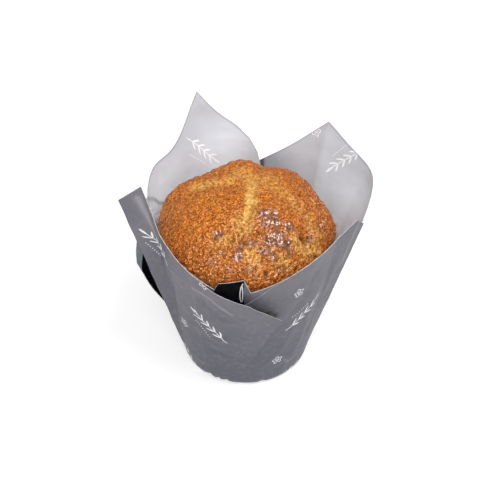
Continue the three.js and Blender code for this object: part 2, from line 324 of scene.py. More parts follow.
# The case is one sheet folded up on four sides, so its print turns from panel to panel. The panels
# meet in the pleats at the dips.
PANEL_STARTS = np.array([dip.azimuth for dip in (FRONT_DIP, RIGHT_DIP, BACK_DIP, LEFT_DIP)])
PANEL_MIDDLES = np.array([-45.0, 40.0, 124.0, 219.5])
WIDTH_SHARE = 0.8  # how far up the wall the paper's real width is counted


def panel_of(azimuth):
    """The number of the panel at an azimuth of the rim, counted from the front dip."""
    turn = (azimuth - PANEL_STARTS[0]) % 360
    return np.searchsorted(PANEL_STARTS[1:] - PANEL_STARTS[0], turn)


def on_sheet(azimuth, height, panel, middles):
    """Places of the print in metres, from the middle of the base. middles are the azimuths of the
    panels' middles as the print counts them."""
    across, reach = np.moveaxis(unrolled(turn_between(azimuth, middles[panel]), height), -1, 0)
    up = reach - CONE_APEX * CONE_SLOPE + BASE_RADIUS
    turn = np.radians(PANEL_MIDDLES[panel])
    x = across * np.cos(turn) - up * np.sin(turn)
    y = across * np.sin(turn) + up * np.cos(turn)
    return np.stack([x, y], axis=-1)


def sheet_azimuth(rows):
    """For each column the azimuth that its print has, where the paper's real width counts also in the
    folds that stand off the cone."""
    row = rows[int(WIDTH_SHARE * len(rows))]
    step = np.hypot(*np.diff(row[:, :2], axis=0).T) / (BASE_RADIUS + CONE_LEAN * row[:-1, 2])
    start = azimuth_of(row[:1])
    return start + np.append(0, np.degrees(np.cumsum(step)))


# A crease or a soft fold: a line of azimuth and height in mm, its half width and its lift in mm, and
# its mark: how far the ink has rubbed off along it or, below zero, how dark the painted shade on the
# outer face is.
Fold = namedtuple("Fold", "line width lift mark", defaults=(0.0,))

SOFT_FOLDS = [
    Fold([(-124, 31), (-113, 28.5), (-103, 30)], 1.3, 0.26),
    Fold([(-112, 33.5), (-100, 31.5), (-89, 30)], 0.9, -0.2),
    Fold([(-124, 15.5), (-114, 18), (-104, 17.4)], 1.1, 0.28),
    Fold([(-117, 20.5), (-104, 20), (-95, 18.5)], 0.9, -0.22),
    Fold([(-104, 14), (-96, 15.5), (-88, 14.6)], 0.8, 0.18),
    Fold([(-126, 24), (-118, 24.6), (-109, 23.6)], 0.9, 0.2),
    Fold([(-120, 38), (-110, 41), (-98, 41.5)], 1.6, 0.24),
    Fold([(-150, 20), (-141, 24), (-134, 31)], 1.2, 0.24),
    Fold([(-146, 40), (-140, 47), (-132, 52)], 1.8, 0.3),
    Fold([(-155, 30), (-150, 42), (-146, 55)], 1.6, -0.26),
    Fold([(-70, 14), (-60, 20), (-54, 30)], 1.6, 0.26),
    Fold([(-45, 12), (-40, 28), (-38, 45)], 2.2, 0.34),
    Fold([(-62, 36), (-52, 46), (-44, 58)], 2.0, -0.3),
    Fold([(-30, 18), (-24, 38), (-20, 58)], 1.8, 0.3),
    Fold([(20, 20), (26, 50), (22, 70)], 2.4, 0.4),
    Fold([(40, 30), (46, 60), (48, 78)], 2.6, -0.4),
    Fold([(100, 40), (108, 64), (112, 84)], 2.8, 0.45),
    Fold([(124, 30), (130, 50), (128, 68)], 2.2, -0.35),
    Fold([(140, 12), (150, 30), (154, 44)], 1.8, 0.3),
]
CREASES = [
    Fold([(204.2, 88.5), (204.6, 81.6), (205.2, 76), (206, 68)], 0.35, 0.06, 0.35),
    Fold([(-13.4, 72), (-13.9, 66.4), (-14.3, 60), (-15, 50)], 0.35, 0.14, 0.3),
    Fold([(-11.6, 68), (-12.2, 60), (-13, 50)], 0.35, -0.1, 0.15),
    Fold([(-56, 12), (-50, 9), (-44, 10)], 0.4, 0.1, 0.25),
    Fold([(-140, 9), (-132, 7.5), (-126, 9)], 0.4, 0.1, 0.25),
]
# Painted shade on the inner face, in lines whose mark is how dark they are: in a crease of the back
# left petal, and in the gap beside the back lap's edge.
INNER_SHADE_LINES = [
    Fold([(160, 63.6), (156.8, 62.5), (152.2, 60.2), (149.4, 57.3), (145.5, 55.8)], 0.42, -0.15, 0.9),
    Fold([(81, 66), (80.2, 61), (79.8, 56)], 0.8, 0, 1),
]
# The shade that the gaping tip of the front flap throws on the layer behind it.
TIP_SHADE = [
    Fold([(-83, 47.7), (-76.9, 45.3), (-73.3, 43.2), (-70, 41.6)], 0.5, 0, -1.6),
    Fold([(-75.3, 45.2), (-71, 42.9)], 0.9, 0, -1.4),
    Fold([(-74, 45.2), (-69, 42.8)], 1.8, 0, -0.35),
]
FLAP_CREASES = [
    Fold([(-131, 55.5), (-122.7, 54.4), (-112.3, 52.9), (-104.5, 49.8), (-98, 47)], 0.4, -0.16, 0.4),
    Fold([(-120, 50), (-108, 45), (-96, 43)], 1.6, -0.3),
]


def fold_fields(flat, folds):
    """The lift in metres and the mark that folds give at places of the flat sheet."""
    lift = np.zeros(flat.shape[:-1])
    mark = np.zeros(flat.shape[:-1])
    for fold in folds:
        azimuth, height = np.array(fold.line, float).T
        nearest = np.full(lift.shape, np.inf)
        for turns in (0, 360):
            line = unrolled(azimuth + turns, height * MM)
            nearest = np.minimum(nearest, distance_to_line(flat[..., 0], flat[..., 1], line))
        strength = bell(nearest / (fold.width * MM))
        lift += strength * fold.lift * MM
        mark += strength * fold.mark
    return lift, mark


def crumple(points):
    """How far handled paper stands off its smooth shape, in metres."""
    broad = noise_at(points, 17 * MM, seed=1, octaves=2)
    middle = noise_at(points * np.array([1, 1, 1.5]), 7.5 * MM, seed=2, octaves=2)
    ridged = 0.5 - np.abs(noise_at(points * np.array([1, 1, 0.6]), 10 * MM, seed=3, octaves=2)) * 2.4
    return (0.3 * broad + 0.1 * middle + 0.05 * ridged) * MM


def above_foot(height):
    """0 low down, where the paper is pressed flat, and 1 further up, where it creases freely."""
    return smoothstep(1 * MM, 7 * MM, height)


# Dents where the folded paper turns under the base: azimuth, spread in degrees and depth in mm.
NICKS = [(233, 3.2, 0.9), (243, 1.6, 0.7), (251, 2.2, 0.8), (286, 2.4, 0.5), (318, 3, 0.4)]


def base_nicks(azimuth, height):
    depth = np.zeros(azimuth.shape)
    for place, spread, deep in NICKS:
        depth = np.maximum(depth, deep * bell(turn_between(azimuth, place) / spread))
    upward = smoothstep(0, 0.8 * MM, height) * (1 - smoothstep(1.2 * MM, 4.5 * MM, height))
    return -depth * MM * upward


# FOLD_SHADE is painted shade: a near-black material for the inside of tight folds.
OUTSIDE, INSIDE, CUT, FOLD_SHADE = range(4)  # the paper's materials, in this order


def sheet_piece(
    name, outer, place, materials, floats, deep, *, panel=0, middles=PANEL_MIDDLES, closed=False,
    thickness=SHEET,
):
    """Paper with two faces and a cut edge all round. place is the azimuth and the height of its
    print, panel its panel for the piece or for each step along the rows, and deep a pair of masks
    that tell where the outer and the inner face get the painted fold shade, near black as in the
    depth of a fold. The last column of a closed piece is a copy of its first, and is joined to it."""
    rows, columns = outer.shape[:2]
    normals = grid_normals(outer, closed)
    if closed:
        outer = outer[:, :-1]
        normals = normals[:, :-1]
    around = outer.shape[1]
    inner = outer - normals * thickness
    vertices = np.concatenate([outer.reshape(-1, 3), inner.reshape(-1, 3)])
    r, c = [index.ravel() for index in np.indices((rows - 1, columns - 1))]

    def at(row, column, face=0):
        return (face * rows + row) * around + column % around

    corners = [(r, c), (r, c + 1), (r + 1, c + 1), (r + 1, c)]
    front = np.stack([at(a, b) for a, b in corners], axis=1)
    back = np.stack([at(a, b, 1) for a, b in reversed(corners)], axis=1)
    azimuth, height = place
    panel = np.broadcast_to(panel, (rows - 1, columns - 1)).ravel()
    spots = [on_sheet(azimuth[a, b], height[a, b], panel, middles) for a, b in corners]
    front_uv = np.stack(spots, axis=1)
    faces = [front, back]
    uvs = [front_uv, front_uv[:, ::-1]]
    kinds = [np.where(deep[0][r, c], FOLD_SHADE, OUTSIDE), np.where(deep[1][r, c], FOLD_SHADE, INSIDE)]

    def cut(row_a, col_a, row_b, col_b):
        """Joins the two faces along an edge, with a quad from each place a to its place b."""
        strip = [at(row_a, col_a), at(row_b, col_b), at(row_b, col_b, 1), at(row_a, col_a, 1)]
        start = unrolled(azimuth[row_a, col_a], height[row_a, col_a])
        end = unrolled(azimuth[row_b, col_b], height[row_b, col_b])
        faces.append(np.stack(strip, axis=1))
        uvs.append(np.stack([start, end, end, start], axis=1))
        kinds.append(np.full(len(strip[0]), CUT))

    across = np.arange(columns - 1)
    cut(rows - 1, across, rows - 1, across + 1)
    if not closed:
        upward = np.arange(rows - 1)
        cut(0, across + 1, 0, across)
        cut(upward + 1, 0, upward, 0)
        cut(upward, columns - 1, upward + 1, columns - 1)
    doubled = {key: np.tile(values[:, :around].ravel(), 2) for key, values in floats.items()}
    return add_mesh(
        name, vertices, np.concatenate(faces), materials, doubled,
        face_material=np.concatenate(kinds), uv=np.concatenate(uvs),
    )


EDGE_SHADE_WIDTH = 0.55 * MM  # the inner face is darker along its edge
MOUTH_MARGIN = 0.1  # degrees
MOUTH_FLOOR = 40 * MM
# Painted light low inside the back petals: a paler colour that stands in for the light coming through
# one layer only. Azimuth, spread in degrees, strength, and the heights in mm between which it fades
# out.
PAINTED_GLOWS = [(100, 13, 0.5, 70, 86), (17, 17, 0.95, 60, 72), (150, 16, 0.4, 62, 80)]


def front_mouth_shade(azimuth, height):
    """Where the wall's outer face is painted near black, as shade inside the front pleat."""
    turn = azimuth % 360
    right_of_foot = turn > POCKET_FOOT.azimuth - MOUTH_MARGIN
    left_of_top = turn < POCKET_TOP.azimuth - MOUTH_MARGIN
    return right_of_foot & left_of_top & (height > MOUTH_FLOOR)


def dip_shade(azimuth, height):
    """The soft shade at the foot of the back dip."""
    turn = azimuth % 360
    across = smoothstep(56, 80, turn) * (1 - smoothstep(84, 88, turn))
    return across * (1 - smoothstep(64 * MM, 72 * MM, height))


# Painted light: how much paler the inner face is painted where light comes through the paper.
def wall_painted_glow(azimuth, height):
    painted_glow = np.zeros(azimuth.shape)
    for middle, spread, strength, low, high in PAINTED_GLOWS:
        fade = 1 - smoothstep(low * MM, high * MM, height)
        painted_glow = painted_glow + strength * bell(turn_between(azimuth, middle) / spread) * fade
    return painted_glow


FLOOR_RINGS = (0.05 * MM, 8 * MM, 15 * MM, 20 * MM)
FILLET_STEP = 15  # degrees
# Shares of the height at which a wall or a layer has its rows, which lie closer at the edge.
WALL_SHARES = np.append(np.linspace(0, 0.99, 88), [0.996, 1])
LAYER_SHARES = np.append(np.linspace(0, 0.988, 80), [0.994, 1])


def base_rows(foot):
    """The outer face of the flat base and its rounded edge, as rows of points outward."""
    rows = [polar(foot, reach, 0.0) for reach in FLOOR_RINGS]
    for angle in np.radians(np.arange(0, 90, FILLET_STEP)):
        reach = BASE_RADIUS - BASE_FILLET * (1 - math.sin(angle))
        rows.append(polar(foot, reach, BASE_FILLET * (1 - math.cos(angle))))
    return np.stack(rows)


def case_wall(materials):
    columns = np.vstack([CASE_EDGE, CASE_EDGE[:1] + [[360, 0, 0, 360]]])
    base = base_rows(columns[:, 3])
    wall = wall_rows(columns, WALL_SHARES, BASE_FILLET, 0)
    rows = np.concatenate([base, wall])
    azimuth = azimuth_of(rows, columns[:, 3])
    height = rows[..., 2]
    flat = unrolled(azimuth, height)
    # pale: rubbed ink along the creases, and below zero the painted shade of TIP_SHADE.
    lift, pale = fold_fields(flat, SOFT_FOLDS + CREASES + TIP_SHADE)
    # The inner lines' lift, and their painted shade.
    line_lift, line = fold_fields(flat, INNER_SHADE_LINES)
    inward = np.maximum(BASE_RADIUS - np.hypot(rows[..., 0], rows[..., 1]), 0)
    along = sheet_azimuth(wall)
    place = (np.broadcast_to(along, height.shape), height - inward)
    off = (crumple(rows) + lift + line_lift) * above_foot(height) + base_nicks(azimuth, height)
    off[:, -1] = off[:, 0]
    rows = rows + grid_normals(rows, closed=True) * off[..., None]
    rows[:, -1] = rows[:, 0]
    shares = np.append(np.zeros(len(base)), WALL_SHARES)
    below_edge = (1 - shares)[:, None] * columns[None, :, 2]
    floats = {
        "pale": pale,
        "rim": bell(below_edge / EDGE_SHADE_WIDTH),
        "painted_glow": wall_painted_glow(azimuth, height),
        "shade": dip_shade(azimuth, height),
        "line": line,
    }
    deep = (front_mouth_shade(azimuth, height), np.zeros(azimuth.shape, bool))
    middles = np.interp(PANEL_MIDDLES, columns[:, 0], along)
    return sheet_piece(
        "case_wall", rows, place, materials, floats, deep,
        panel=panel_of(columns[:-1, 0]), middles=middles, closed=True,
    )


FLAP_FOOT = 5 * MM
FLAP_PROUD = 0.35 * MM
THIN_SHEET = 0.14 * MM  # thickness of a layer that comes out of the wall
LAYER_STEPS = 4  # steps of the solid's edge between two points of a layer's edge


def layer_edge(points):
    runs = [curved_edge(a, b, LAYER_STEPS) for a, b in zip(points, points[1:])]
    return np.vstack([*runs, np.array(points[-1])[None]])


def case_layer(
    name, points, materials, *, folds=(), lift=None, shade_share=0.0, slip=0.0, proud=FLAP_PROUD,
    **sheet,
):
    """A layer of a pleat, proud of the wall. slip turns its print by as many degrees as the pleat
    hides. lift(across, share) stands it further off the wall, in mm: across goes from 0 to 1 along
    its edge and share up its height. Up to shade_share of its height, its inner face gets the
    painted fold shade, near black as the inside of the pleat."""
    edge = layer_edge(points)
    shares = LAYER_SHARES[:, None]
    rows = wall_rows(edge, LAYER_SHARES, FLAP_FOOT, proud)
    azimuth = azimuth_of(rows, edge[:, 3])
    height = rows[..., 2]
    # pale: rubbed ink along the creases, and below zero the painted shade of TIP_SHADE.
    fold_lift, pale = fold_fields(unrolled(azimuth, height), SOFT_FOLDS + list(folds))
    off = (crumple(rows) + fold_lift) * above_foot(height)
    if lift is not None:
        across = np.linspace(0, 1, len(edge))[None, :]
        off = off + lift(across, shares) * MM
    rows = rows + grid_normals(rows) * off[..., None]
    below_edge = (1 - shares) * edge[None, :, 2]
    rim = bell(below_edge / EDGE_SHADE_WIDTH)
    floats = {"pale": pale, "rim": rim, "painted_glow": wall_painted_glow(azimuth, height)}
    deep = (np.zeros(azimuth.shape, bool), np.broadcast_to(shares < shade_share, azimuth.shape))
    return sheet_piece(name, rows, (azimuth + slip, height), materials, floats, deep, **sheet)


def front_flap_lift(across, share):
    """The flap starts inside the wall and gapes a little between the pocket and its tip."""
    gape = 0.8 * bell((across - 0.71) / 0.2) * smoothstep(0.4, 1, share)
    return gape - 0.45 * (1 - smoothstep(0, 0.11, across))


def left_flap_lift(across, share):
    """The free side of the left flap gapes most two thirds of the way up."""
    gape = 1.6 * smoothstep(0.45, 1, across) * bell((share - 0.65) / 0.25)
    return gape - 0.5 * (1 - smoothstep(0.02, 0.16, share))


def rising(height, start):
    """A lift along the edge, where a layer comes out of the wall or, below zero, sinks into it."""
    return lambda across, _share: height * smoothstep(start, 0.95, across)


# The small loop in which the front pleat's inner layer ends: azimuth, radius and height of its
# edge, in order round it. The paper goes inward from there.
PLEAT_LOOP = [
    (-91.7, 37.1, 63.2),
    (-92.8, 36.9, 61.4),
    (-93.5, 36.6, 58.6),
    (-93.6, 36.2, 55.6),
    (-93.1, 35.9, 53.4),
    (-92.1, 35.9, 52.9),
    (-91.4, 36.1, 54.2),
    (-91.3, 36.5, 57.4),
    (-91.4, 36.9, 60.6),
    (-91.6, 37.1, 62.6),
]
PLEAT_LOOP_DEPTH = 1.8 * MM
PLEAT_LOOP_INWARD = np.array([0, 0.78, -0.63])
PLEAT_LOOP_THICKNESS = 0.42 * MM


def pleat_loop(materials):
    azimuth, radius, height = np.array(PLEAT_LOOP).T
    edge = polar(azimuth, radius * MM, height * MM)
    along = np.linspace(0, len(edge) - 1, 60)
    smooth = np.stack([np.interp(along, np.arange(len(edge)), line) for line in edge.T], axis=1)
    for _ in range(4):
        smooth[1:-1] = (smooth[:-2] + 2 * smooth[1:-1] + smooth[2:]) / 4
    depth = np.linspace(PLEAT_LOOP_DEPTH, 0, 6)[:, None, None]
    rows = smooth[None] + depth * PLEAT_LOOP_INWARD
    place = (azimuth_of(rows, FRONT_DIP.azimuth), rows[..., 2])
    # The loop's outer face is plain paper; its inner face gets the painted fold shade.
    nowhere = np.zeros(rows.shape[:2], bool)
    return sheet_piece(
        "pleat_loop", rows, place, materials, {}, (nowhere, ~nowhere), thickness=PLEAT_LOOP_THICKNESS
    )


def case_pieces(materials):
    return [
        case_wall(materials),
        case_layer(
            "front_flap", FRONT_FLAP, materials,
            folds=FLAP_CREASES, lift=front_flap_lift, slip=-3, panel=3, thickness=THIN_SHEET,
        ),
        case_layer(
            "left_flap", LEFT_FLAP, materials, lift=left_flap_lift, shade_share=0.88, slip=-14, panel=2
        ),
        case_layer("back_flap", BACK_FLAP, materials, slip=-11, panel=1),
        case_layer(
            "front_right_layer", FRONT_RIGHT_LAYER, materials,
            folds=TIP_SHADE, lift=rising(-0.27, 0.6), panel=0, proud=0.22 * MM, thickness=THIN_SHEET,
        ),
        case_layer(
            "back_lap", BACK_LAP, materials,
            lift=rising(0.5, 0.35), slip=-6.5, panel=2, proud=-0.04 * MM, thickness=THIN_SHEET,
        ),
        pleat_loop(materials),
    ]


# ---- the muffin

# Cracks of the solid's dome: half width and depth in mm, and the line they follow over it.
CRACKS = [
    (2.8, 1.2, [(8, 26), (6, 16), (4, 8), (1.7, 0.5), (1, -11), (-0.8, -21.6), (-1.7, -24.4)]),
    (2.4, 0.9, [(1.7, 0.5), (-9.8, 0.3), (-20.3, 2.1), (-28, 4)]),
    (2.2, 0.9, [(4, 6), (13.2, -3.4), (23.6, -8.7), (24.9, -12), (22, -19), (26, -23)]),
    (1.8, 0.7, [(-1.7, -24.4), (-6.5, -25.4), (-12, -24)]),
]
# Rises of the solid's dome, or dips below zero: x, y, height and spread.
SWELLINGS = [
    (-26, 8, 1.9, 8),
    (-19, 21, -1.2, 6),
    (6, 27, -1.3, 4),
    (-1, 17, 1.9, 7),
    (18, 13, 1.2, 8),
    (31, 13, -1.4, 6),
    (37, -4, 2.8, 6),
    (-14, -10, 1, 10),
    (12, -15, 1.4, 8),
    (8, -27, 0.7, 6),
]
# Where pale crumb shows: half width in mm, how pale, and the line it follows over the dome.
CRUMB_STREAKS = [
    (3.0, 1.0, [(3.4, 4), (1.9, -1), (1.7, -6), (1.2, -12.5)]),
    (4.4, 0.66, [(1.2, -12.5), (-0.2, -16), (-1.8, -19.4)]),
    (7.0, 0.42, [(-1.5, 9.5), (4, 7.5), (8.5, 6)]),
    (4.4, 0.6, [(2.5, 6), (2.2, 0)]),
    (3.2, 0.5, [(-5.5, 6.2), (-11, 6.2), (-20, 7)]),
    (3.6, 0.3, [(9, 4), (15.5, 0)]),
    (2.8, 0.55, [(17, -2.5), (20.5, -5.4)]),
    (2.8, 0.45, [(23.5, -8), (26, -12)]),
    (3.6, 0.6, [(19.5, -20.6), (23, -19.6), (27, -18)]),
    (3.2, 0.5, [(-9.5, -21.6), (-5, -22.6)]),
    (3.6, 0.55, [(0, -25.4), (4, -28)]),
    (3.4, 0.45, [(10.5, -27.6), (15, -27)]),
]
# Sticky, darker patches: x, y, radius across, radius along and strength.
STICKY_SPOTS = [
    (12.6, -22.2, 5.6, 2.9, 1.0),
    (8.6, -15.5, 4.2, 4.2, 0.9),
    (8.5, -26.6, 3.6, 1.7, 0.9),
    (-2.6, -26.0, 2.0, 3.2, 1.0),
    (1.8, -23.4, 3.2, 1.0, 0.9),
    (-9.8, -19.9, 1.8, 1.4, 0.9),
    (-8.3, -25.9, 1.6, 1.0, 0.6),
    (-12, -28.0, 2.6, 1.4, 0.4),
    (-6.5, -30.5, 2.0, 1.2, 0.4),
    (1.5, -31.0, 2.6, 1.2, 0.4),
    (16.6, -16.6, 1.8, 1.5, 0.9),
    (24.6, -14.6, 1.6, 2.0, 0.6),
    (28.6, -6.0, 1.6, 3.0, 0.5),
    (14.0, -29.5, 2.4, 1.2, 0.4),
    (-15.8, -19.0, 1.4, 1.0, 0.6),
]
# Single holes: x, y, radius and depth.
HOLES = [
    (16.2, -17.0, 0.6, 1.0),
    (4.8, -20.2, 0.5, 0.8),
    (21.8, -17.2, 1.2, 1.2),
    (23.9, -16.2, 0.9, 1.1),
    (7.5, -31.8, 0.7, 1.0),
    (-4.6, -21.6, 0.6, 0.7),
    (27.0, -19.6, 0.6, 0.9),
    (-18, -22, 0.5, 0.6),
    (-26, -12, 0.5, 0.6),
]


def crust_relief(x, y):
    """The solid's relief in millimetres at places x, y in millimetres."""
    depth = np.zeros_like(x)
    for width, deep, line in CRACKS:
        depth = np.maximum(depth, deep * bell(distance_to_line(x, y, line) / width))
    swelling = np.zeros_like(x)
    for sx, sy, rise, spread in SWELLINGS:
        swelling = swelling + rise * np.exp(-((x - sx) ** 2 + (y - sy) ** 2) / spread**2)
    coarse = np.sin(0.55 * x + 1.1 + np.sin(0.31 * y)) * np.sin(0.49 * y + 0.6 - np.sin(0.27 * x))
    fine = np.sin(1.13 * x - 0.7 * y + 0.4) * np.sin(0.91 * y + 0.63 * x + 1.9)
    return swelling - depth + 0.35 * coarse + 0.22 * fine


DOME_SQUARENESS = 1.93
DOME_SHIFT_Y = 3.5 * MM  # how far back the top lies
DOME_TILT = 0.6 * MM  # how far the right rises
DOME_CELLS = 284  # cells along a side of the dome's square grid
SIDE_ROWS = 12
PORES = 260
PORE_REACH = 33  # mm from the dome's middle
PORE_RADII = (0.22, 0.5)  # mm


def disc_from_square(s, t):
    """Share of the radius and azimuth in radians, for places of a square from -1 to 1."""
    wide = np.abs(s) > np.abs(t)
    reach = np.where(wide, np.abs(s), np.abs(t))
    safe_s = np.where(s == 0, 1e-9, s)
    safe_t = np.where(t == 0, 1e-9, t)
    angle = np.where(wide, (np.pi / 4) * (t / safe_s), np.pi / 2 - (np.pi / 4) * (s / safe_t))
    angle = angle + np.where(np.where(wide, s, t) < 0, np.pi, 0)
    return reach, angle


def dome_points(reach, angle):
    """The smooth dome, its outward directions, how far up each point is and the relief's share."""
    quarter = (np.pi / 2) * (1 - reach)
    power = 2 / DOME_SQUARENESS
    radius = MUFFIN_WIDEST_RADIUS * np.cos(quarter) ** power
    rise = MUFFIN_TOP - MUFFIN_WIDEST_HEIGHT
    up = np.sin(quarter) ** power
    height = MUFFIN_WIDEST_HEIGHT + rise * up
    plain = np.stack([radius * np.cos(angle), radius * np.sin(angle), height], axis=-1)
    flat_part = radius / MUFFIN_WIDEST_RADIUS**2
    outward = unit(np.stack([flat_part * np.cos(angle), flat_part * np.sin(angle), up / rise], axis=-1))
    return plain, outward, up, np.minimum(1, np.sin(quarter) * 2.4)


def crumb_field(x, y, wander):
    """How much pale crumb shows. wander in mm makes the streaks' edges ragged."""
    field = np.zeros_like(x)
    for width, strength, line in CRUMB_STREAKS:
        distance = distance_to_line(x, y, line) + wander
        field = np.maximum(field, strength * smoothstep(width * 1.35, 0, distance))
    return field


def sticky_field(x, y, wander):
    """How sticky the crust is, with the same ragged edges."""
    field = np.zeros_like(x)
    for sx, sy, across, along, strength in STICKY_SPOTS:
        distance = np.hypot((x - sx) / across, (y - sy) / along) + wander * 0.35
        field = np.maximum(field, strength * smoothstep(1.3, 0.7, distance))
    return field


def hole_field(x, y):
    """Depth in millimetres of the named holes and of pores scattered over the crust."""
    depth = np.zeros_like(x)
    for hx, hy, radius, deep in HOLES:
        depth = np.maximum(depth, deep * bell(np.hypot(x - hx, y - hy) / radius))
    angle = rng.uniform(0, 2 * np.pi, PORES)
    reach = PORE_REACH * np.sqrt(rng.uniform(0, 1, PORES))
    size = rng.uniform(*PORE_RADII, PORES)
    for px, py, radius in zip(reach * np.cos(angle), reach * np.sin(angle), size):
        near = (np.abs(x - px) < 1.5) & (np.abs(y - py) < 1.5)
        dent = 0.9 * radius * bell(np.hypot(x[near] - px, y[near] - py) / radius)
        depth[near] = np.maximum(depth[near], dent)
    return depth


def crust_fields(plain, dome, reach, angle):
    """The fine relief in mm, with rounded lumps and narrow creases between them, and the fields
    that the crust's material reads."""
    x, y = dome[..., 0] / MM, dome[..., 1] / MM
    wander = 2.2 * noise_at(plain, 3.4 * MM, seed=13)
    grain = noise_at(plain, 1.2 * MM, seed=11, octaves=2)
    lumps = 1.6 * np.abs(noise_at(plain, 2.7 * MM, seed=12, octaves=2)) - 0.5
    # front: the front and right side, lumpier and glossier; on the right its darker colour is also
    # painted shade.
    front = np.maximum(smoothstep(2, -22, y + 0.4 * np.abs(x - 6)), 0.8 * smoothstep(10, 27, x))
    crumb = crumb_field(x, y, wander)
    sticky = sticky_field(x, y, wander)
    holes = hole_field(x, y)
    # The rim darkens partly as real browning and partly as painted shade where the crust turns away;
    # right_rim_shade and the creases between the lumps add painted shade.
    rim = smoothstep(0.8, 0.98, reach)
    right_rim_shade = smoothstep(0.66, 0.84, reach) * bell((np.degrees(angle) - 22) / 34)
    creases = smoothstep(-0.22, -0.46, lumps) * (0.25 + 0.75 * front)
    baked_shade = np.maximum(np.maximum(rim, right_rim_shade) * smoothstep(-1.2, 0.6, wander), 0.7 * creases)
    rough = (0.14 + 0.2 * front + 0.08 * crumb) * (1 - 0.85 * sticky)
    lumpy = (0.18 + 0.55 * front + 0.4 * rim) * (1 - 0.55 * sticky)
    waves = noise_at(plain, 1.7 * MM, seed=15, octaves=2) * sticky
    relief = rough * grain + lumpy * lumps + 0.13 * waves - 0.35 * crumb - holes
    # Painted shade in the holes and pores: how much darker their colour is.
    hole_shade = np.clip(holes / 0.6, 0, 1)
    return relief, {"crumb": crumb, "sticky": sticky, "front": front, "hole_shade": hole_shade, "baked_shade": baked_shade}


def side_rings(azimuth):
    """The muffin's side and foot, as rings of points from under the dome down to the middle."""
    floor = PAPER + GAP
    heights = np.linspace(MUFFIN_WIDEST_HEIGHT, MUFFIN_FOOT_HEIGHT, SIDE_ROWS + 1)[1:]
    profile = [(muffin_side(height), height) for height in heights]
    profile += [
        (MUFFIN_FOOT_RADIUS - 0.8 * MM, floor + 0.9 * MM),
        (MUFFIN_FOOT_RADIUS - 2.8 * MM, floor),
        (0.3 * MM, floor),
    ]
    return [polar(azimuth, radius, height) for radius, height in profile]


def muffin(material):
    steps = np.linspace(-1, 1, DOME_CELLS + 1)
    t, s = np.meshgrid(steps, steps, indexing="ij")
    reach, angle = disc_from_square(s, t)
    plain, outward, up, share = dome_points(reach, angle)
    coarse = crust_relief(plain[..., 0] / MM, plain[..., 1] / MM)
    dome = plain + outward * (coarse * share * MM)[..., None]
    dome[..., 1] += DOME_SHIFT_Y * up
    dome[..., 2] += DOME_TILT * up * plain[..., 0] / MUFFIN_WIDEST_RADIUS
    relief, fields = crust_fields(plain, dome, reach, angle)
    dome = dome + outward * (relief * smoothstep(0, 0.5, share) * MM)[..., None]
    points = dome.reshape(-1, 3)

    index = np.arange(len(points)).reshape(reach.shape)
    corners = [index[:-1, :-1], index[:-1, 1:], index[1:, 1:], index[1:, :-1]]
    faces = [np.stack(corners, axis=-1).reshape(-1, 4)]
    upper = np.concatenate([index[0, :-1], index[:-1, -1], index[-1, :0:-1], index[:0:-1, 0]])
    around = len(upper)
    rings = side_rings(azimuth_of(points[upper]))
    for ring in range(len(rings)):
        lower = len(points) + ring * around + np.arange(around)
        faces.append(np.stack([upper, lower, np.roll(lower, -1), np.roll(upper, -1)], axis=-1))
        upper = lower
    padding = np.zeros(len(rings) * around)
    floats = {key: np.append(field.ravel(), padding) for key, field in fields.items()}
    vertices = np.concatenate([points, *rings])
    return add_mesh("muffin_crust", vertices, np.concatenate(faces), [material], floats)


# ---- the materials


def srgb(red, green, blue):
    """A colour from 0 to 255 as it shows on screen, as the linear colour that nodes take."""
    def linear(v):
        v /= 255
        return v / 12.92 if v <= 0.04045 else ((v + 0.055) / 1.055) ** 2.4
    return (linear(red), linear(green), linear(blue), 1.0)


